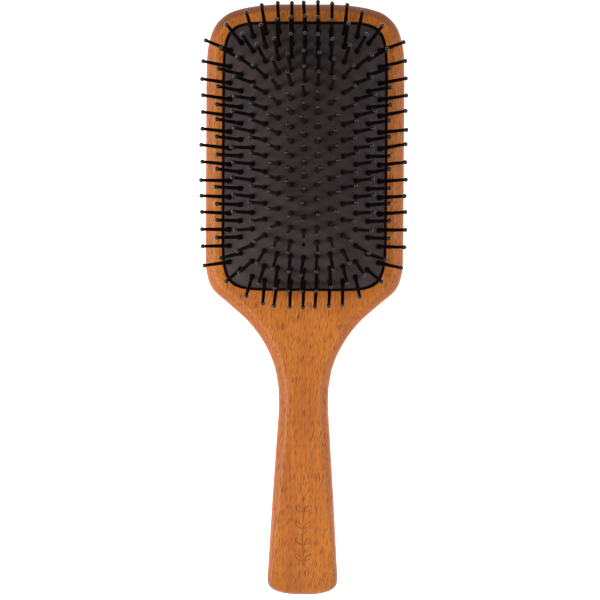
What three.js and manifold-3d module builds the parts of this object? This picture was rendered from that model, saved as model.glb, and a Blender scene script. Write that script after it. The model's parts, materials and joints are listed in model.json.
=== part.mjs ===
// A paddle hairbrush in millimetres, +Z up. It lies on its flat back with the pins pointing up, the head end
// at +Y and the handle towards -Y. The pins are moulded in strips, three to each of the thirteen columns.
import * as THREE from 'three';
import { mergeVertices } from 'three/addons/utils/BufferGeometryUtils.js';
import { ParametricGeometry } from 'three/addons/geometries/ParametricGeometry.js';
import Module from 'manifold-3d';

const wasm = await Module();
wasm.setup();

// Wooden body
const bodyLength = 254;
const bodyThickness = 14;
const bevelWidth = 4;
const bevelHeight = 3.4;
const bevelSteps = 3;
const pocketFloor = 5;
// Half of the outline, from the head's middle to the butt's middle, and the straight steps along each stretch
const headEnd = [[0, 127], [15.5, 126.8], [27.4, 125.1], [34.1, 122.5], [39.1, 117.3], [41.9, 108.6],
  [42.6, 95]];
const headSide = [[42.6, 95], [42.6, 55], [42.6, 21]];
const shoulder = [[42.6, 21], [42.1, 12], [39.7, 5], [32.1, -2], [24.4, -8.9], [18.8, -15.8], [14.9, -22.7],
  [12.3, -29.6], [10.8, -38]];
const handleSide = [[10.8, -38], [10.6, -46], [11.3, -57], [13.1, -85], [14.7, -113], [15.1, -119.5]];
const buttEnd = [[15.1, -119.5], [15, -121.6], [14.4, -123.3], [12.9, -124.7], [9.5, -126.1], [4.5, -126.9],
  [0, -127]];
const halfOutline = [
  { steps: 12, points: headEnd },
  { steps: 2, points: headSide },
  { steps: 14, points: shoulder },
  { steps: 6, points: handleSide },
  { steps: 8, points: buttEnd },
];

// Rubber air cushion: a dome that runs level across its middle and falls away towards the rim
const domeHeight = 10.7;
const domeCurve = 2.45;
const domeHalfWidth = 34.4;
const domeHalfLength = 56.6;
const levelHalfLength = 16.2;
const rimSquareness = 7;
const rimDrop = 0.4;
const rimLevel = bodyThickness - rimDrop;
const membrane = 1.5;
const skirtWall = 1.7;
const rimGap = 0.8;
const flangeReach = 2.4;
const flangeTop = 12.2;
const flangeBottom = 9.4;
const cushionMiddleY = 61.6;
const domeRings = [0.35, 0.6, 0.78, 0.91, 1];
const cornerSteps = 4;

// Pins
const columnPitch = 5.6;
const outerColumn = 6;
const middleColumnPins = 20;
const ventPlace = 16;
// From the cushion's middle to a column's first and last pins, for the middle column and each one further out
const headReach = [52.9, 52.7, 52.5, 52.1, 50.6, 47.8, 44.8];
const handleReach = [53.7, 53.5, 53.3, 52.9, 51.3, 48.3, 45.3];
const pinSides = 4;
const footRadius = 1.1;
const neckRadius = 0.65;
const ballRadius = 1;
const ballMiddle = 19.1;
const neckHeight = 17.9;
const pinHeight = 20;
const barDepth = 3.5;
const barThickness = 1;
const barWidth = 2.3;

const clearance = 0.3;
const ventRadius = 1.1;
const ventSides = 8;
const cutterLength = 12;

// How finely slopes and lengths on the dome are measured
const shareRounds = 8;
const slopeStep = 0.05;
const walkStep = 0.01;
const walkSamples = 400;
const mergeDistance = 1e-4;

// How far out a point of the cushion lies: 0 on its middle line, 1 at the rim.
function domeShare(x, y) {
  const across = Math.abs(x) / domeHalfWidth;
  const along = Math.max(0, Math.abs(y) - levelHalfLength) / (domeHalfLength - levelHalfLength);
  let share = Math.max(across, along);
  for (let i = 0; i < shareRounds; i += 1) {
    const power = squareness(share);
    share = (across ** power + along ** power) ** (1 / power);
  }
  return share;
}

// The power of a ring's superellipse: an ellipse inside, nearly square at the rim.
function squareness(share) {
  const round = 2;
  return round + (rimSquareness - round) * share * share;
}

function domeLevel(share) {
  return rimLevel + domeHeight * (1 - share ** domeCurve);
}

// The point on the dome's outer face above (x, y) and the direction straight out of it.
function onDome(x, y) {
  const level = (px, py) => domeLevel(domeShare(px, py));
  const slopeX = (level(x + slopeStep, y) - level(x - slopeStep, y)) / (2 * slopeStep);
  const slopeY = (level(x, y + slopeStep) - level(x, y - slopeStep)) / (2 * slopeStep);
  return {
    point: new THREE.Vector3(x, y, level(x, y)),
    out: new THREE.Vector3(-slopeX, -slopeY, 1).normalize(),
  };
}

// Walks along a line on the dome and returns a number of places on it, the same length of rubber apart.
function equalSteps(levelAt, from, to, count) {
  const travelled = [0];
  for (let i = 1; i <= walkSamples; i += 1) {
    const before = from + ((to - from) * (i - 1)) / walkSamples;
    const here = from + ((to - from) * i) / walkSamples;
    travelled.push(travelled[i - 1] + Math.hypot(here - before, levelAt(here) - levelAt(before)));
  }
  const places = [from];
  for (let n = 1; n < count - 1; n += 1) {
    const wanted = (travelled[walkSamples] * n) / (count - 1);
    const i = travelled.findIndex((t) => t >= wanted);
    const part = (wanted - travelled[i - 1]) / (travelled[i] - travelled[i - 1]);
    places.push(from + ((to - from) * (i - 1 + part)) / walkSamples);
  }
  places.push(to);
  return places;
}

// How far from the middle a column stands when the columns are one pitch apart along the rubber.
function columnPlace(column) {
  const levelAt = (x) => domeLevel(domeShare(x, 0));
  let x = 0;
  let travelled = 0;
  while (travelled < Math.abs(column) * columnPitch) {
    travelled += Math.hypot(walkStep, levelAt(x + walkStep) - levelAt(x));
    x += walkStep;
  }
  return x * Math.sign(column);
}

// One closed body from rings that follow the rim's outline. Each ring has its share, its level, and how much
// wider than the rim it is; the first and last have share 0.
function ringLoft(rings) {
  const around = 4 * (cornerSteps + 1);
  const place = (u, v, target) => {
    const { share, widen, level } = rings[Math.round(v * (rings.length - 1))];
    const index = Math.round((1 - u) * around) % around;
    const quarter = Math.floor(index / (cornerSteps + 1));
    const turn = ((index % (cornerSteps + 1)) / cornerSteps) * (Math.PI / 2);
    const fromSide = quarter % 2 === 0 ? turn : Math.PI / 2 - turn;
    const power = 2 / squareness(share);
    const across = share * Math.max(0, Math.cos(fromSide)) ** power;
    const along = share * Math.max(0, Math.sin(fromSide)) ** power;
    const x = across < mergeDistance ? 0 : across * (domeHalfWidth + widen);
    const y = levelHalfLength + along * (domeHalfLength - levelHalfLength + widen);
    target.set(quarter === 0 || quarter === 3 ? x : -x, quarter < 2 ? y : -y, level);
  };
  return new ParametricGeometry(place, around, rings.length - 1);
}

// Booleans
function solidOf(geometry) {
  const plain = new THREE.BufferGeometry();
  plain.setAttribute('position', geometry.getAttribute('position').clone());
  plain.setIndex(geometry.index);
  const merged = mergeVertices(plain, mergeDistance);
  const index = merged.index ? Array.from(merged.index.array) : [];
  const triangles = [];
  for (let i = 0; i < index.length; i += 3) {
    const [a, b, c] = index.slice(i, i + 3);
    if (a !== b && b !== c && c !== a) {
      triangles.push(a, b, c);
    }
  }
  return new wasm.Manifold(new wasm.Mesh({
    numProp: 3,
    vertProperties: new Float32Array(merged.getAttribute('position').array),
    triVerts: new Uint32Array(triangles),
  }));
}

function geometryOf(solid) {
  const mesh = solid.getMesh();
  const geometry = new THREE.BufferGeometry();
  geometry.setAttribute('position', new THREE.BufferAttribute(new Float32Array(mesh.vertProperties), 3));
  geometry.setIndex(new THREE.BufferAttribute(new Uint32Array(mesh.triVerts), 1));
  return geometry;
}

// A shape made along +Y, turned to point out of the dome and set down at a pin's place.
function standAt(geometry, { point, out }) {
  const turn = new THREE.Quaternion().setFromUnitVectors(new THREE.Vector3(0, 1, 0), out);
  geometry.applyQuaternion(turn);
  geometry.translate(point.x, point.y, point.z);
  return geometry;
}

function woodBody() {
  const half = [];
  for (const { steps, points } of halfOutline) {
    const through = points.map(([x, y]) => new THREE.Vector3(x, y, 0));
    const curve = new THREE.CatmullRomCurve3(through, false, 'centripetal');
    half.push(...curve.getSpacedPoints(steps).slice(0, -1));
  }
  const other = half.slice(1).map((p) => new THREE.Vector3(-p.x, p.y, 0)).reverse();
  const buttMiddle = new THREE.Vector3(0, -bodyLength / 2, 0);
  const outline = [...half, buttMiddle, ...other].map((p) => new THREE.Vector2(p.x, p.y));
  const blank = new THREE.ExtrudeGeometry(new THREE.Shape(outline), {
    depth: bodyThickness - 2 * bevelHeight,
    bevelThickness: bevelHeight,
    bevelSize: bevelWidth,
    bevelOffset: -bevelWidth,
    bevelSegments: bevelSteps,
    steps: 1,
  });
  blank.translate(0, 0, bevelHeight);
  const aboveFace = bodyThickness + 1;
  const rings = [
    { share: 0, widen: rimGap, level: aboveFace },
    { share: 1, widen: rimGap, level: aboveFace },
    { share: 1, widen: rimGap, level: flangeTop + clearance },
    { share: 1, widen: flangeReach + clearance, level: flangeTop + clearance },
    { share: 1, widen: flangeReach + clearance, level: flangeBottom - clearance },
    { share: 1, widen: -skirtWall, level: flangeBottom - clearance },
    { share: 1, widen: -skirtWall, level: pocketFloor },
    { share: 0, widen: -skirtWall, level: pocketFloor },
  ];
  const pocket = ringLoft(rings);
  pocket.translate(0, cushionMiddleY, 0);
  return solidOf(blank).subtract(solidOf(pocket));
}

function airCushion(pins, vent) {
  const outer = domeRings.map((share) => ({ share, widen: 0, level: domeLevel(share) }));
  const under = domeRings.map((share) => ({ share, widen: -skirtWall, level: domeLevel(share) - membrane }));
  const rings = [
    { share: 0, widen: 0, level: domeLevel(0) },
    ...outer,
    { share: 1, widen: 0, level: flangeTop },
    { share: 1, widen: flangeReach, level: flangeTop },
    { share: 1, widen: flangeReach, level: flangeBottom },
    { share: 1, widen: -skirtWall, level: flangeBottom },
    ...under.reverse(),
    { share: 0, widen: -skirtWall, level: domeLevel(0) - membrane },
  ];
  let cushion = solidOf(ringLoft(rings));
  const holeRadius = footRadius + clearance;
  for (const place of pins) {
    const hole = new THREE.CylinderGeometry(holeRadius, holeRadius, cutterLength, pinSides);
    cushion = cushion.subtract(solidOf(standAt(hole, place)));
  }
  const ventHole = new THREE.CylinderGeometry(ventRadius, ventRadius, cutterLength, ventSides);
  return cushion.subtract(solidOf(standAt(ventHole, vent)));
}

// A pin from the bar under the rubber to the top of its ball tip.
function pin(place) {
  const profile = [
    [0, -barDepth - barThickness / 2],
    [footRadius, -barDepth - barThickness / 2],
    [neckRadius, neckHeight],
    [ballRadius, ballMiddle],
    [0, pinHeight],
  ];
  const turned = new THREE.LatheGeometry(profile.map(([r, h]) => new THREE.Vector2(r, h)), pinSides);
  return solidOf(standAt(turned, place));
}

// The bar that joins a strip's pins under the rubber, bent to follow the dome.
function rootBar(places) {
  const last = places.length - 1;
  const isStation = ({ point }, i) => i === 0 || i === last || Math.abs(point.y) > levelHalfLength;
  const stations = places.filter(isStation);
  const bends = stations.length - 1;
  const bar = new THREE.BoxGeometry(barWidth, bends, barThickness, 1, bends, 1);
  const position = bar.getAttribute('position');
  for (let i = 0; i < position.count; i += 1) {
    const station = Math.round(bends / 2 - position.getY(i));
    const { point, out } = stations[station];
    const overhang = ((station === 0) - (station === bends)) * barWidth / 2;
    const middle = point.clone().addScaledVector(out, position.getZ(i) - barDepth - barThickness / 2);
    position.setXYZ(i, middle.x + position.getX(i), middle.y + overhang, middle.z);
  }
  return solidOf(bar);
}

function pinStrip(places) {
  let strip = rootBar(places);
  for (const place of places) {
    strip = strip.add(pin(place));
  }
  return strip;
}

const wood = new THREE.MeshStandardMaterial({ color: 0xb9702f, roughness: 0.4, metalness: 0 });
const rubber = new THREE.MeshStandardMaterial({ color: 0x4a3f41, roughness: 0.75, metalness: 0 });
const nylon = new THREE.MeshStandardMaterial({ color: 0x141316, roughness: 0.25, metalness: 0 });

const brush = new THREE.Group();

function addPart(name, solid, material, y) {
  const mesh = new THREE.Mesh(geometryOf(solid), material);
  mesh.geometry.translate(0, y, 0);
  mesh.name = name;
  brush.add(mesh);
}

const allPins = [];
let vent = null;
for (let column = -outerColumn; column <= outerColumn; column += 1) {
  const fromMiddle = Math.abs(column);
  const count = middleColumnPins - fromMiddle;
  const x = columnPlace(column);
  const levelAt = (y) => domeLevel(domeShare(x, y));
  const ys = equalSteps(levelAt, headReach[fromMiddle], -handleReach[fromMiddle], count);
  const ends = Math.round(count / 3);
  const strips = { head: [0, ends], middle: [ends, count - ends], handle: [count - ends, count] };
  const number = String(column + outerColumn + 1).padStart(2, '0');
  for (const [part, [from, to]] of Object.entries(strips)) {
    const places = ys.slice(from, to).map((y) => onDome(x, y));
    if (column === 0 && ventPlace >= from && ventPlace < to) {
      [vent] = places.splice(ventPlace - from, 1);
    }
    allPins.push(...places);
    addPart(`pin_column_${number}_${part}`, pinStrip(places), nylon, cushionMiddleY);
  }
}
addPart('wood_body', woodBody(), wood, 0);
addPart('air_cushion', airCushion(allPins, vent), rubber, cushionMiddleY);

export default brush;
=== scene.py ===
# Paddle hairbrush: beech body, rubber air cushion and ball-tipped nylon pins, seen from almost overhead.
import json
import math
import random

import bmesh
import bpy
import numpy as np
from mathutils import Matrix, Vector
from mathutils.geometry import delaunay_2d_cdt


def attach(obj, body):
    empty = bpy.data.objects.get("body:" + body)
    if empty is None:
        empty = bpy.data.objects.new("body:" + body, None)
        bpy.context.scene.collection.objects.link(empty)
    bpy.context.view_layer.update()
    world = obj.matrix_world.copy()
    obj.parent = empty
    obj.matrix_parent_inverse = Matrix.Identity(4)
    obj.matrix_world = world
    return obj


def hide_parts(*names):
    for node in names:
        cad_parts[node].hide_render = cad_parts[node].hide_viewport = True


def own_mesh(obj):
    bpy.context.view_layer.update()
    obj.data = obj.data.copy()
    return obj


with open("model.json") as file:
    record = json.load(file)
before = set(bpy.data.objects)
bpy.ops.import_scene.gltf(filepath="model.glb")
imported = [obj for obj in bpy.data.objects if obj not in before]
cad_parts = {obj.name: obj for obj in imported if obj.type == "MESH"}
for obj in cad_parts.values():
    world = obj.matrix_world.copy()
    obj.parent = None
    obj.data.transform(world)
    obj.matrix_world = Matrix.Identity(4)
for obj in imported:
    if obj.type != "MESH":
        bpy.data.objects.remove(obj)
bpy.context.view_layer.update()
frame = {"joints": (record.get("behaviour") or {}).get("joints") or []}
metre = 0.001  # the shapes below are worked out in millimetres
random.seed(7)
print("frame loaded")


# a socket that takes +, -, * and /, so that shader maths reads as sums
class Wire:
    def __init__(self, tree, socket):
        self.tree = tree
        self.socket = socket

    def together(self, operation, *values):
        node = self.tree.nodes.new("ShaderNodeMath")
        node.operation = operation
        for place, value in zip(node.inputs, values):
            plug(self.tree, place, value)
        return Wire(self.tree, node.outputs[0])

    def maths(self, operation, *others):
        return self.together(operation, self, *others)

    def __add__(self, other):
        return self.maths("ADD", other)

    def __sub__(self, other):
        return self.maths("SUBTRACT", other)

    def __rsub__(self, other):
        return self.together("SUBTRACT", other, self)

    def __mul__(self, other):
        return self.maths("MULTIPLY", other)

    def __truediv__(self, other):
        return self.maths("DIVIDE", other)

    def __rtruediv__(self, other):
        return self.together("DIVIDE", other, self)

    __radd__ = __add__
    __rmul__ = __mul__

    def between(self, low, high):  # 0 below low, 1 above high, smooth in between
        node = self.tree.nodes.new("ShaderNodeMapRange")
        node.interpolation_type = "SMOOTHSTEP"
        for place, value in zip(node.inputs, (self, low, high, 0.0, 1.0)):
            plug(self.tree, place, value)
        return Wire(self.tree, node.outputs[0])


def plug(tree, place, value):
    if isinstance(value, Wire):
        tree.links.new(value.socket, place)
    else:
        place.default_value = value


class Finish:
    def __init__(self, name):
        self.material = bpy.data.materials.new(name)
        self.material.use_nodes = True
        self.tree = self.material.node_tree
        self.shader = self.tree.nodes["Principled BSDF"]

    def node(self, kind, settings, values, output=0):
        node = self.tree.nodes.new("ShaderNode" + kind)
        for key, value in settings.items():
            setattr(node, key, value)
        for key, value in values.items():
            plug(self.tree, node.inputs[key], value)
        return Wire(self.tree, node.outputs[output])

    def place(self, scale):  # where on the piece, in millimetres, stretched by scale
        own = self.node("TexCoord", {}, {}, "Object")
        stretch = Vector(scale) / metre
        return self.node("VectorMath", {"operation": "MULTIPLY"}, {0: own, 1: stretch})

    def cloud(self, scale, detail=2.0, roughness=0.5):
        values = {"Vector": self.place(scale), "Scale": 1.0, "Detail": detail, "Roughness": roughness}
        return self.node("TexNoise", {}, values)

    def blend(self, share, first, second):  # sockets 6, 7 and 2 are the Mix node's colours
        return self.node("Mix", {"data_type": "RGBA"}, {0: share, 6: first, 7: second}, 2)

    def bump(self, height, strength, depth, under=None):
        values = {"Height": height, "Strength": strength, "Distance": depth}
        if under is not None:
            values["Normal"] = under
        return self.node("Bump", {}, values)

    def set(self, **values):
        for key, value in values.items():
            plug(self.tree, self.shader.inputs[key.replace("_", " ")], value)


def colour(red, green, blue):  # 0-255 as seen, to what Blender mixes
    def straight(c):
        c /= 255
        return c / 12.92 if c <= 0.04045 else ((c + 0.055) / 1.055) ** 2.4
    return (straight(red), straight(green), straight(blue), 1.0)


# one shown piece: its name, the CAD solids it stands for and the body it moves with
def piece(name, points, faces, finish, body, stands_for):
    mesh = bpy.data.meshes.new(name)
    mesh.from_pydata([tuple(p) for p in np.asarray(points, float) * metre], [], faces)
    mesh.validate()
    mesh.shade_smooth()
    mesh.materials.append(finish.material)
    made = bpy.data.objects.new(name, mesh)
    bpy.context.scene.collection.objects.link(made)
    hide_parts(*stands_for)
    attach(made, body)
    return made


def joined(rings):  # quads between rings of the same length, each ring a list of point numbers
    faces = []
    for low, high in zip(rings, rings[1:]):
        count = len(low)
        for i in range(count):
            j = (i + 1) % count
            faces.append((low[i], low[j], high[j], high[i]))
    return faces


def nextNumbers(points, count):  # the numbers that the next ring of points will have
    return list(range(len(points), len(points) + count))


def turn(i, count):  # the angle of place i of a ring
    return i / count * 2 * math.pi


# the cushion's dome, in millimetres
cushion = {
    "middleY": 61.6,
    "halfWidth": 34.4,
    "halfLength": 56.6,
    "levelHalfLength": 16.2,  # this stretch of the middle runs level
    "height": 10.7,
    "curve": 2.45,
    "rimSquareness": 7,
    "rimLevel": 13.6,
    "rimSteps": 48,  # points in each quarter of the rim
    "furthestShare": 1.3,  # the squareness grows no further outside the rim
    "shareRounds": 8,
    "slopeStep": 0.05,
}


def squareness(share):
    return 2 + (cushion["rimSquareness"] - 2) * share ** 2


def domeShare(x, y):  # 0 on the middle line, 1 at the rim
    across = np.abs(x) / cushion["halfWidth"]
    alongLength = cushion["halfLength"] - cushion["levelHalfLength"]
    along = np.maximum(0, np.abs(y) - cushion["levelHalfLength"]) / alongLength
    share = np.maximum(across, along) + 1e-9  # never quite 0, for the powers below
    for _ in range(cushion["shareRounds"]):
        power = squareness(np.minimum(share, cushion["furthestShare"]))
        share = (across ** power + along ** power + 1e-30) ** (1 / power)
    return share


def domeLevel(x, y):
    share = domeShare(np.asarray(x, float), np.asarray(y, float))
    return cushion["rimLevel"] + cushion["height"] * (1 - share ** cushion["curve"])


def domeOut(x, y):  # the direction straight out of the rubber
    step = cushion["slopeStep"]
    slopeX = (domeLevel(x + step, y) - domeLevel(x - step, y)) / (2 * step)
    slopeY = (domeLevel(x, y + step) - domeLevel(x, y - step)) / (2 * step)
    return Vector((-float(slopeX), -float(slopeY), 1)).normalized()


def rimOutline(widen):  # anticlockwise, round the cushion's middle
    points = []
    for quarter in range(4):
        for i in range(cushion["rimSteps"]):
            angle = i / cushion["rimSteps"] * math.pi / 2
            fromSide = angle if quarter % 2 == 0 else math.pi / 2 - angle
            power = 2 / cushion["rimSquareness"]
            across = math.cos(fromSide) ** power
            along = math.sin(fromSide) ** power if fromSide > 0 else 0
            x = across * (cushion["halfWidth"] + widen)
            reach = cushion["halfLength"] - cushion["levelHalfLength"] + widen
            y = cushion["levelHalfLength"] + along * reach
            points.append((x if quarter in (0, 3) else -x, y if quarter < 2 else -y))
    return [p for i, p in enumerate(points) if math.dist(p, points[i - 1]) > 1e-4]  # no point twice


# where the pins stand
pins = {
    "pitch": 5.6,
    "outerColumn": 6,
    "middlePins": 20,
    "ventPlace": 16,  # the place on the middle line that the vent takes
    "stripsPerColumn": 3,
    "columnSpan": 34,
    "headReach": [52.9, 52.7, 52.5, 52.1, 50.6, 47.8, 44.8],
    "handleReach": [53.7, 53.5, 53.3, 52.9, 51.3, 48.3, 45.3],
    "sides": 20,
    "wander": 0.018,  # how far a pin leans off true, as a slope
    "endLean": 1.12,  # how much more than square to the rubber the pins lean towards the ends
}


def travel(across, up):  # how far along a line each of its points lies
    return np.concatenate([[0], np.cumsum(np.hypot(np.diff(across), np.diff(up)))])


def equalSteps(level, start, end, count):  # places at equal distances along the rubber
    t = np.linspace(start, end, 2001)
    travelled = travel(t, level(t))
    return np.interp(np.linspace(0, travelled[-1], count), travelled, t)


def columnPlace(column):
    t = np.linspace(0, pins["columnSpan"], 3401)
    travelled = travel(t, domeLevel(t, 0 * t))
    return math.copysign(float(np.interp(abs(column) * pins["pitch"], travelled, t)), column)


strips, vent = {}, None
for column in range(-pins["outerColumn"], pins["outerColumn"] + 1):
    count = pins["middlePins"] - abs(column)
    x = columnPlace(column)
    start, end = pins["headReach"][abs(column)], -pins["handleReach"][abs(column)]
    ys = equalSteps(lambda y: domeLevel(x + 0 * y, y), start, end, count)
    ends = int(count / pins["stripsPerColumn"] + 0.5)
    spans = {"head": (0, ends), "middle": (ends, count - ends), "handle": (count - ends, count)}
    for part, (first, last) in spans.items():
        places = [(x, float(ys[i])) for i in range(first, last)]
        if column == 0 and first <= pins["ventPlace"] < last:
            vent = places.pop(pins["ventPlace"] - first)
        strips[f"pin_column_{column + pins['outerColumn'] + 1:02d}_{part}"] = places
pinPlaces = [p for places in strips.values() for p in places]
print("pins placed:", len(pinPlaces))


# finishes; the three numbers of a scale are per millimetre across, along and through
beech = {
    "pale": colour(200, 117, 34),
    "deep": colour(172, 92, 24),
    # the bevel tint below is painted sheen and shade, pinker and darker than the wood's own colour
    "edge": colour(166, 90, 42),
    # the dark end colour is end grain darkened further with painted shade, at the head's bevel and over
    # the butt
    "endGrainAndShade": colour(96, 44, 12),
    # painted shade on the pocket's wall, darkening the gap round the cushion
    "pocket": colour(30, 13, 6),
    "fleck": colour(114, 54, 14),
    "gloss": 0.48,
    "lacquer": 0.06,
    "lacquerRoughness": 0.34,
    "shine": 0.3,
    "fleckDepth": 0.00002,  # depths are in metres
    "filmScale": (0.5, 0.2, 0.5),
    "filmDepth": 0.00006,
    "broadScale": (0.07, 0.009, 0.07),
    "streakScale": (0.8, 0.03, 0.8),
    "poreScale": (4.5, 0.3, 4.5),
    "driftScale": (0.05, 0.02, 0.05),
    "drift": 5,
    "slant": 0.15,
    # the dark dashes: width and length, the noise where they start and are full, and a shift that
    # parts the two kinds
    "longDashes": (0.34, 4.6, 0.59, 0.66, 0),
    "shortDashes": (0.28, 3.2, 0.60, 0.67, 40),
    "shortShare": 0.8,
    "fleckShare": 0.9,
    "poreShare": 0.14,
    "bevelSheenShare": 0.6,
    "headEndShare": 0.7,
    "buttEndShare": (0.22, 0.3),  # painted shade on the flat face, and end grain with painted shade added on the bevel
    "headEnd": (108, 122),  # where the darker end colour comes in, towards the head and towards the butt: end grain and painted shade on the bevels, painted shade alone on the butt's flat face
    "buttEnd": (-100, -127),
}
# a sprig of leaf pairs pressed into the handle
sprig = {
    "x": 0.4,
    "low": -113.5,
    "pairs": 4,
    "pitch": 7.0,
    "leaf": 2.1,  # half of a leaf's length
    "half": 0.85,  # half of its width
    "out": 1.9,
    "turn": 0.8,
    "leafEdge": (1.15, 0.75),
    "stemEdge": (0.34, 0.12),
    "face": (13.5, 13.9),  # only on the upper face
    "depth": 0.0005,
}


def sprigMask(x, y, z):
    side = (x - sprig["x"]).maths("ABSOLUTE")
    along = (y - sprig["low"]) / sprig["pitch"]
    step = (along.maths("FRACT") - 0.45) * sprig["pitch"]
    out = side - sprig["out"]
    cosine, sine = math.cos(sprig["turn"]), math.sin(sprig["turn"])
    length = (out * sine + step * cosine) / sprig["leaf"]
    width = (out * cosine - step * sine) / sprig["half"]
    leaf = (length * length + width.maths("ABSOLUTE")).between(*sprig["leafEdge"])
    stem = side.between(*sprig["stemEdge"])
    onSprig = along.between(-0.05, 0.05) * (sprig["pairs"] - along).between(-0.05, 0.05)
    return leaf.maths("MAXIMUM", stem) * onSprig * z.between(*sprig["face"])


def beechFinish():
    wood = Finish("lacquered_beech")
    at = wood.place((1, 1, 1))
    x, y, z = (wood.node("SeparateXYZ", {}, {"Vector": at}, axis) for axis in "XYZ")
    broad = wood.cloud(beech["broadScale"], 2.0)
    streaks = wood.cloud(beech["streakScale"], 4.0, 0.6)
    pores = wood.cloud(beech["poreScale"], 3.0, 0.55)
    tone = (broad * 0.65 + streaks * 0.35).between(0.32, 0.68)
    base = wood.blend(tone, beech["deep"], beech["pale"])
    # rays cut across show as short dark dashes, a little askew of the grain
    drift = wood.cloud(beech["driftScale"], 1.0) * beech["drift"]

    def dashes(width, length, low, high, shift):
        askew = (x - y * beech["slant"] + drift + shift) / width
        spot = wood.node("CombineXYZ", {}, {"X": askew, "Y": y / length, "Z": z / width})
        values = {"Vector": spot, "Scale": 1.0, "Detail": 1.0, "Roughness": 0.4}
        return wood.node("TexNoise", {}, values).between(low, high)

    shorter = dashes(*beech["shortDashes"]) * beech["shortShare"]
    rays = dashes(*beech["longDashes"]).maths("MAXIMUM", shorter)
    # the edge share marks the bevel, for its painted sheen and shade; the second attribute is painted
    # shade down the pocket's wall
    edge = wood.node("Attribute", {"attribute_name": "edge"}, {}, "Fac")
    pocket = wood.node("Attribute", {"attribute_name": "pocket"}, {}, "Fac")
    flatShadeShare, bevelShadeShare = beech["buttEndShare"]
    # painted shade at the head end's bevel and over the butt, on top of the darker end grain
    headEnd = edge * y.between(*beech["headEnd"]) * beech["headEndShare"]
    ends = headEnd + y.between(*beech["buttEnd"]) * (edge * bevelShadeShare + flatShadeShare)
    # painted sheen and shade tint the bevels, then painted shade darkens the ends and the pocket wall
    sheenAndShadeWood = wood.blend(edge * beech["bevelSheenShare"], base, beech["edge"])
    sheenAndShadeWood = wood.blend(ends, sheenAndShadeWood, beech["endGrainAndShade"])
    sheenAndShadeWood = wood.blend(pocket, sheenAndShadeWood, beech["pocket"])
    veined = wood.blend(pores.between(0.42, 0.75) * beech["poreShare"], sheenAndShadeWood, beech["fleck"])
    wood.set(Base_Color=wood.blend(rays * beech["fleckShare"], veined, beech["fleck"]))
    film = wood.cloud(beech["filmScale"], 2.0)
    skin = wood.bump(film, 0.25, beech["filmDepth"])
    grained = wood.bump(pores * -0.5 - rays, 0.5, beech["fleckDepth"], skin)
    normal = wood.bump(sprigMask(x, y, z) * -1, 1.0, sprig["depth"], grained)
    wood.set(Roughness=pores * 0.12 + rays * 0.15 + (beech["gloss"] - 0.06), Normal=normal)
    wood.set(Coat_Weight=beech["lacquer"], Coat_Roughness=beech["lacquerRoughness"], Coat_IOR=1.45)
    wood.set(Specular_IOR_Level=beech["shine"])
    return wood


rubber = {
    "dark": colour(50, 38, 40),
    "worn": colour(64, 51, 53),
    "roughness": 0.66,
    "shine": 0.25,
    "bloomScale": (0.08, 0.08, 0.08),
    "gritScale": (9, 9, 9),
    "gritDepth": 0.00008,
}


def rubberFinish():
    surface = Finish("cushion_rubber")
    bloom = surface.cloud(rubber["bloomScale"], 3.0)
    grit = surface.cloud(rubber["gritScale"], 2.0)
    tone = (bloom * 0.8 + grit * 0.2).between(0.3, 0.7)
    surface.set(Base_Color=surface.blend(tone, rubber["dark"], rubber["worn"]))
    surface.set(Roughness=bloom * 0.14 + (rubber["roughness"] - 0.07), Specular_IOR_Level=rubber["shine"])
    surface.set(Normal=surface.bump(grit * 0.6 + bloom, 0.25, rubber["gritDepth"]))
    return surface


nylon = {
    "black": colour(5, 3, 5),
    "grey": colour(13, 9, 12),
    "roughness": 0.15,
    "shine": 0.4,
    "hazeScale": (0.6, 0.6, 0.25),
    "drawnScale": (6, 6, 0.6),
    "drawnDepth": 0.00003,
}


def nylonFinish():
    surface = Finish("pin_nylon")
    haze = surface.cloud(nylon["hazeScale"], 3.0)
    drawn = surface.cloud(nylon["drawnScale"], 2.0)
    surface.set(Base_Color=surface.blend(haze.between(0.35, 0.7), nylon["black"], nylon["grey"]))
    surface.set(Roughness=haze * 0.1 + (nylon["roughness"] - 0.05))
    surface.set(Normal=surface.bump(drawn, 0.2, nylon["drawnDepth"]))
    surface.set(Specular_IOR_Level=nylon["shine"])
    return surface


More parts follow.
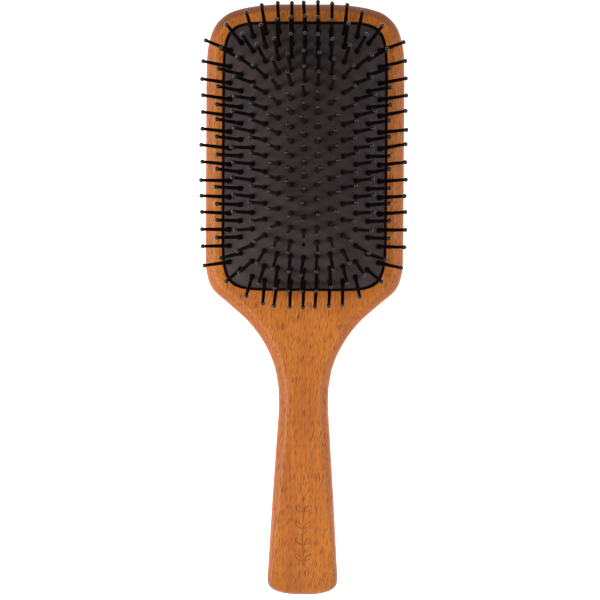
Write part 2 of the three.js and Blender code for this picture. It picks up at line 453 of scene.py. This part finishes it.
# the wooden body
body = {
    "length": 254,
    "thickness": 14,
    # half of the outline, head to butt, and how closely each stretch is followed
    "outline": [
        (70, [(0, 127), (15.5, 126.8), (27.4, 125.1), (34.1, 122.5), (39.1, 117.3), (41.9, 108.6),
              (42.6, 95)]),
        (24, [(42.6, 95), (42.6, 55), (42.6, 21)]),
        (90, [(42.6, 21), (42.1, 12), (39.7, 5), (32.1, -2), (24.4, -8.9), (18.8, -15.8), (14.9, -22.7),
              (12.3, -29.6), (10.8, -38)]),
        (50, [(10.8, -38), (10.6, -46), (11.3, -57), (13.1, -85), (14.7, -113), (15.1, -119.5)]),
        (40, [(15.1, -119.5), (15, -121.6), (14.4, -123.3), (12.9, -124.7), (9.5, -126.1), (4.5, -126.9),
              (0, -127)]),
    ],
    # the bevel from the flat face out to the side: how far in from the outline, how far below the face
    "bevel": [(5.2, 0), (4.9, 0), (4.5, 0.03), (4.1, 0.1), (3.7, 0.22), (3.3, 0.4), (2.8, 0.7), (2.2, 1.1),
              (1.6, 1.55), (1.1, 1.98), (0.65, 2.5), (0.3, 3.1), (0.08, 3.9), (0, 4.8)],
    "backInwards": 0.9,  # the same bevel round the back, a little tighter
    "backDrop": 0.8,
    "buttBevel": 0.4,  # the bevel's share of its width at the butt, and where it starts to narrow
    "narrowFrom": -60,
    "narrowOver": 66,
    "paintedFrom": 2.6,  # how far in from the outline the bevel's painted sheen and shade start to fade
    "paintedOver": 1.6,
    # the pocket's rounded lip: how much wider than the rim, how far below the face
    "lip": [(1.25, 0), (1.08, 0.02), (0.93, 0.09), (0.83, 0.22), (0.8, 0.4)],
    "pocketDepth": 9,
    "curveSteps": 60,
}


def throughPoints(points, count):  # a centripetal curve through the points, in equal steps
    points = [Vector(p) for p in points]
    points = [points[0] * 2 - points[1], *points, points[-1] * 2 - points[-2]]
    dense = []
    for a, b, c, d in zip(points, points[1:], points[2:], points[3:]):
        ta = 0
        tb = ta + (b - a).length ** 0.5
        tc = tb + (c - b).length ** 0.5
        td = tc + (d - c).length ** 0.5
        for i in range(body["curveSteps"]):
            t = tb + (tc - tb) * i / body["curveSteps"]
            ab = a.lerp(b, (t - ta) / (tb - ta))
            bc = b.lerp(c, (t - tb) / (tc - tb))
            cd = c.lerp(d, (t - tc) / (td - tc))
            abc = ab.lerp(bc, (t - ta) / (tc - ta))
            bcd = bc.lerp(cd, (t - tb) / (td - tb))
            dense.append(abc.lerp(bcd, (t - tb) / (tc - tb)))
    x, y = np.array([tuple(p) for p in [*dense, points[-2]]]).T
    travelled = travel(x, y)
    wanted = np.linspace(0, travelled[-1], count + 1)
    return [(float(np.interp(w, travelled, x)), float(np.interp(w, travelled, y))) for w in wanted]


def bodyOutline():
    half = []
    for count, points in body["outline"]:
        half += throughPoints(points, count)[:-1]
    half.append((0, -body["length"] / 2))
    return half + [(-x, y) for x, y in reversed(half[1:-1])]


def smoothStep(t):
    t = min(max(t, 0), 1)
    return t * t * (3 - 2 * t)


def inset(outline, amount):  # the outline moved inwards; the bevel is narrower round the butt
    moved = []
    for i, (x, y) in enumerate(outline):
        before, after = Vector(outline[i - 1]), Vector(outline[(i + 1) % len(outline)])
        along = (after - before).normalized()
        inwards = Vector((along.y, -along.x))
        towardsButt = smoothStep((body["narrowFrom"] - y) / body["narrowOver"])
        narrow = 1 - (1 - body["buttBevel"]) * towardsButt
        moved.append(Vector((x, y)) + inwards * amount * narrow)
    return moved


def flatFill(outer, inner=()):  # triangles between an outline and a hole
    loops = [outer, inner] if len(inner) else [outer]
    flat = [Vector(p) for loop in loops for p in loop]
    edges = []
    start = 0
    for loop in loops:
        edges += [(start + i, start + (i + 1) % len(loop)) for i in range(len(loop))]
        start += len(loop)
    _, _, faces, origin, _, _ = delaunay_2d_cdt(flat, edges, [], 2, 1e-6)
    numbers = [o[0] for o in origin]
    faces = [tuple(numbers[i] for i in f) for f in faces]
    return [f for f in faces if min(f) < len(outer)]  # none inside the hole


def woodBody():
    outline = bodyOutline()
    top = body["thickness"]
    points, rings, edge, pocket = [], [], [], []

    def ring(places, level, share, pocketShadeShare):
        rings.append(nextNumbers(points, len(places)))
        points.extend((p[0], p[1], level) for p in places)
        edge.extend([share] * len(places))
        pocket.extend([pocketShadeShare] * len(places))

    outlineRings = [(amount, top - drop) for amount, drop in body["bevel"]]
    for amount, drop in reversed(body["bevel"]):
        outlineRings.append((amount * body["backInwards"], drop * body["backDrop"]))
    for amount, level in outlineRings:
        faded = smoothStep((amount - body["paintedFrom"]) / body["paintedOver"])
        ring(inset(outline, amount), level, 1 - faded, 0)
    faces = joined(rings)
    back = rings[-1]
    faces += [tuple(back[i] for i in f) for f in flatFill([points[n][:2] for n in back])]
    front = rings[0]
    rings = []
    lift = cushion["middleY"]
    lipWiden, lipDrop = body["lip"][-1]
    # the last share of each ring paints shade down the pocket's wall, full below the lip
    for widen, drop in [*body["lip"], (lipWiden, body["pocketDepth"])]:
        ring([(x, y + lift) for x, y in rimOutline(widen)], top - drop, 0, smoothStep(drop / lipDrop))
    faces += joined(rings)
    lip, floor = rings[0], rings[-1]
    both = front + lip
    fill = flatFill([points[n][:2] for n in front], [points[n][:2] for n in lip])
    faces += [tuple(both[i] for i in f) for f in fill]
    faces += [tuple(floor[i] for i in f) for f in flatFill([points[n][:2] for n in floor])]
    made = piece("wood_body_shown", points, faces, beechFinish(), "body", ["wood_body"])
    for name, shares in {"edge": edge, "pocket": pocket}.items():
        painted = made.data.attributes.new(name, "FLOAT", "POINT")
        painted.data.foreach_set("value", np.array(shares, np.float32))
    turnOutwards(made)


def turnOutwards(made):
    shape = bmesh.new()
    shape.from_mesh(made.data)
    bmesh.ops.recalc_face_normals(shape, faces=shape.faces)
    shape.to_mesh(made.data)
    shape.free()


woodBody()
print("wooden body made")


# the air cushion
pad = {
    "grid": 0.85,  # a mesh of even triangles, with this between points
    "rowShare": 0.866,
    "gridReach": 0.965,  # the dome share where the grid ends
    "dent": 0.22,
    "dentWidth": 1.9,
    "ventRadius": 0.6,
    "ventSides": 24,
    "ventClear": 0.4,
    "ventDent": 0.25,
    "ventSharpness": 3,
    "ventSteps": (0.5, 1.6),  # how deep the rings of its wall lie
    "edgeLift": 0.35,
    # outside the grid: how much wider than the rim, and how far below the dome's edge
    "edge": [(-0.8, None), (-0.4, 0.15), (-0.12, 0.5), (0, 1.0), (0, 3.6)],
}


def airCushion():
    lift = cushion["middleY"]
    firstWiden = pad["edge"][0][0]
    rim = rimOutline(firstWiden)
    flat = [Vector(p) for p in rim]
    ventRing = []
    for i in range(pad["ventSides"]):
        angle = turn(i, pad["ventSides"])
        ventX = vent[0] + pad["ventRadius"] * math.cos(angle)
        ventRing.append((ventX, vent[1] + pad["ventRadius"] * math.sin(angle)))
    flat += [Vector(p) for p in ventRing]
    rows = int(cushion["halfLength"] / pad["grid"] / pad["rowShare"]) + 1
    columns = int(cushion["halfWidth"] / pad["grid"]) + 1
    for row in range(-rows, rows + 1):
        for column in range(-columns, columns + 1):
            x = (column + 0.5 * (row % 2)) * pad["grid"]
            y = row * pad["grid"] * pad["rowShare"]
            clear = math.dist((x, y), vent) > pad["ventRadius"] + pad["ventClear"]
            if clear and domeShare(x, y) < pad["gridReach"]:
                flat.append(Vector((x, y)))
    edges = [(i, (i + 1) % len(rim)) for i in range(len(rim))]
    places, _, faces, _, _, _ = delaunay_2d_cdt(flat, edges, [], 0, 1e-6)
    middles = [np.mean([places[i] for i in f], axis=0) for f in faces]
    faces = [f for f, m in zip(faces, middles) if math.dist(m, vent) > pad["ventRadius"] * 0.98]
    x, y = np.array([tuple(p) for p in places]).T
    level = domeLevel(x, y)
    for pinX, pinY in pinPlaces:  # the rubber is drawn in a little round each pin
        far = ((x - pinX) ** 2 + (y - pinY) ** 2) / pad["dentWidth"] ** 2
        level -= pad["dent"] * np.exp(-far * 2)
    far = np.hypot(x - vent[0], y - vent[1]) / pad["ventRadius"]
    level -= pad["ventDent"] * np.exp(-((far - 1) * pad["ventSharpness"]) ** 2)
    points = [(a, b + lift, c) for a, b, c in zip(x, y, level)]
    rings = [list(range(len(rim)))]
    for widen, drop in pad["edge"][1:]:
        rings.append(nextNumbers(points, len(rim)))
        edgeLevel = cushion["rimLevel"] + pad["edgeLift"] - drop
        points += [(a, b + lift, edgeLevel) for a, b in rimOutline(widen)]
    faces += joined(rings)
    rings = [list(range(len(rim), len(rim) + len(ventRing)))]
    for deep in pad["ventSteps"]:
        rings.append(nextNumbers(points, len(ventRing)))
        points += [(a, b + lift, level[n] - deep) for n, (a, b) in zip(rings[0], ventRing)]
    faces += joined(rings)
    made = piece("air_cushion_shown", points, faces, rubberFinish(), "body", ["air_cushion"])
    turnOutwards(made)
    pressJoint = next(j for j in frame["joints"] if j["name"] == "cushion_press")
    pressed = pressJoint["range_m"][1] / metre
    1 - pressed / cushion["height"]
    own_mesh(made)


airCushion()
print("air cushion made")


# the pins
pinShape = {
    # radius and height above the rubber, foot to ball
    "profile": [(0, -1.2), (0.7, -1.2), (0.75, -0.3), (1.05, -0.25), (1.2, -0.1), (1.24, 0.25), (1.2, 0.7),
                (1.14, 1.3), (1.04, 1.9), (0.93, 2.5), (0.86, 3.1), (0.83, 4), (0.8, 8), (0.75, 12),
                (0.7, 15.6), (0.66, 17.4), (0.66, 17.9)],
    "sunk": 0.1,
    "ballRadius": 0.96,
    "ballMiddle": 18.85,
    "ballRings": 9,
}


def pinProfile():
    profile = list(pinShape["profile"])
    radius = pinShape["ballRadius"]
    start = math.asin(pinShape["profile"][-1][0] / radius)
    for i in range(pinShape["ballRings"] + 1):
        angle = start + (math.pi - start) * i / pinShape["ballRings"]
        profile.append((radius * math.sin(angle), pinShape["ballMiddle"] - radius * math.cos(angle)))
    return profile


def pinStrips():
    finish = nylonFinish()
    profile = pinProfile()
    sides = pins["sides"]
    for name, places in strips.items():
        points, faces = [], []
        for x, y in places:
            out = domeOut(x, y)
            out.y *= pins["endLean"]
            out += Vector((random.gauss(0, pins["wander"]), random.gauss(0, pins["wander"]), 0))
            turned = Vector((0, 0, 1)).rotation_difference(out.normalized()).to_matrix()
            foot = Vector((x, y + cushion["middleY"], float(domeLevel(x, y)) - pinShape["sunk"]))
            rings = []
            for radius, height in profile:
                rings.append(nextNumbers(points, sides))
                for i in range(sides):
                    angle = turn(i, sides)
                    spot = Vector((radius * math.cos(angle), radius * math.sin(angle), height))
                    points.append(foot + turned @ spot)
            faces += joined(rings)
        piece(name + "_shown", points, faces, finish, "moving_" + name, [name])


pinStrips()
print("pins made")


# floor, light and camera; places and sizes here are in metres
studio = {
    "floor": colour(250, 250, 250),
    "paper": colour(253, 253, 253),
    "paperScale": (0.002, 0.002, 0.002),
    "paperRoughness": 0.9,
    "glow": 0.8,
    "coveGlow": 0.3,
    "fade": (0.02, 0.8),  # the heights between which the floor's glow turns into the cove's
    "sky": 0.1,
    "aim": (0, 0.02, 0.01),
    # soft boxes: place, width, height and watts
    "boxes": {
        "left_box": ((-0.72, -0.12, 0.8), 0.6, 0.45, 10.0),
        "right_box": ((0.72, -0.12, 0.8), 0.6, 0.45, 5.0),
        "top_box": ((0, -0.75, 1.3), 1.0, 0.4, 3.5),
    },
    # the cove from its middle outwards: how far out, how far up
    "cove": [(1.2, 0), (4, 0), (5, 0.03), (5.6, 0.2), (5.9, 0.5), (6, 1), (6, 2.6)],
    "coveSides": 96,
    "gap": 0.3,  # millimetres between the brush and the floor
}


def cove():  # a white floor that curves up into a backdrop all round
    sides = studio["coveSides"]
    points, rings = [(0, 0, -studio["gap"])], []
    for far, up in studio["cove"]:
        rings.append(nextNumbers(points, sides))
        for i in range(sides):
            angle = turn(i, sides)
            spot = (far * math.cos(angle) / metre, far * math.sin(angle) / metre)
            points.append((*spot, up / metre - studio["gap"]))
    faces = joined(rings) + [(0, rings[0][i], rings[0][(i + 1) % sides]) for i in range(sides)]
    mesh = bpy.data.meshes.new("floor")
    mesh.from_pydata([tuple(p) for p in np.asarray(points) * metre], [], faces)
    mesh.shade_smooth()
    ground = bpy.data.objects.new("floor", mesh)
    bpy.context.scene.collection.objects.link(ground)
    finish = Finish("floor_paper")
    soft = finish.cloud(studio["paperScale"], 2.0)
    height = finish.node("SeparateXYZ", {}, {"Vector": finish.place((1, 1, 1))}, "Z")
    far = (height * metre).between(*studio["fade"])
    glow = finish.blend(far, (1, 1, 1, 1), (studio["coveGlow"] / studio["glow"],) * 3 + (1,))
    finish.set(Base_Color=finish.blend(soft, studio["floor"], studio["paper"]))
    finish.set(Roughness=studio["paperRoughness"])
    finish.set(Emission_Color=glow, Emission_Strength=studio["glow"])
    mesh.materials.append(finish.material)


def softBox(name, place, width, height, power):
    lamp = bpy.data.lights.new(name, "AREA")
    lamp.shape = "RECTANGLE"
    lamp.size, lamp.size_y = width, height
    lamp.energy = power
    holder = bpy.data.objects.new(name, lamp)
    bpy.context.scene.collection.objects.link(holder)
    holder.location = place
    holder.rotation_mode = "QUATERNION"
    holder.rotation_quaternion = (Vector(studio["aim"]) - Vector(place)).to_track_quat("-Z", "Y")


def light():
    for name, (place, width, height, power) in studio["boxes"].items():
        softBox(name, place, width, height, power)
    world = bpy.data.worlds.new("studio")
    world.use_nodes = True
    world.node_tree.nodes["Background"].inputs["Color"].default_value = (1, 1, 1, 1)
    world.node_tree.nodes["Background"].inputs["Strength"].default_value = studio["sky"]
    bpy.context.scene.world = world
    bpy.context.scene.view_settings.view_transform = "Standard"


camera = {
    "sensor": 36,
    "distance": 0.725,
    "aim": (-0.0016, 0.0002, 0.014),
    "seen": 0.2567,  # the width that the picture spans at the aim
    "leanX": 1.5,  # degrees off straight above, towards the right and the head
    "leanY": 1.1,
    "roll": 0.34,
}


def photographer():
    made = bpy.data.cameras.new("camera")
    holder = bpy.data.objects.new("camera", made)
    bpy.context.scene.collection.objects.link(holder)
    bpy.context.scene.camera = holder
    made.sensor_width = camera["sensor"]
    made.lens = camera["sensor"] * camera["distance"] / camera["seen"]
    aim = Vector(camera["aim"])
    leanX, leanY = (math.tan(math.radians(camera[lean])) for lean in ("leanX", "leanY"))
    back = Vector((leanX, leanY, 1)).normalized()
    roll = math.radians(camera["roll"])
    up = Vector((-math.sin(roll), math.cos(roll), 0))
    right = up.cross(back).normalized()
    up = back.cross(right)
    holder.matrix_world = Matrix((right, up, back)).transposed().to_4x4()
    holder.location = aim + back * camera["distance"]


cove()
light()
photographer()
print("studio set")
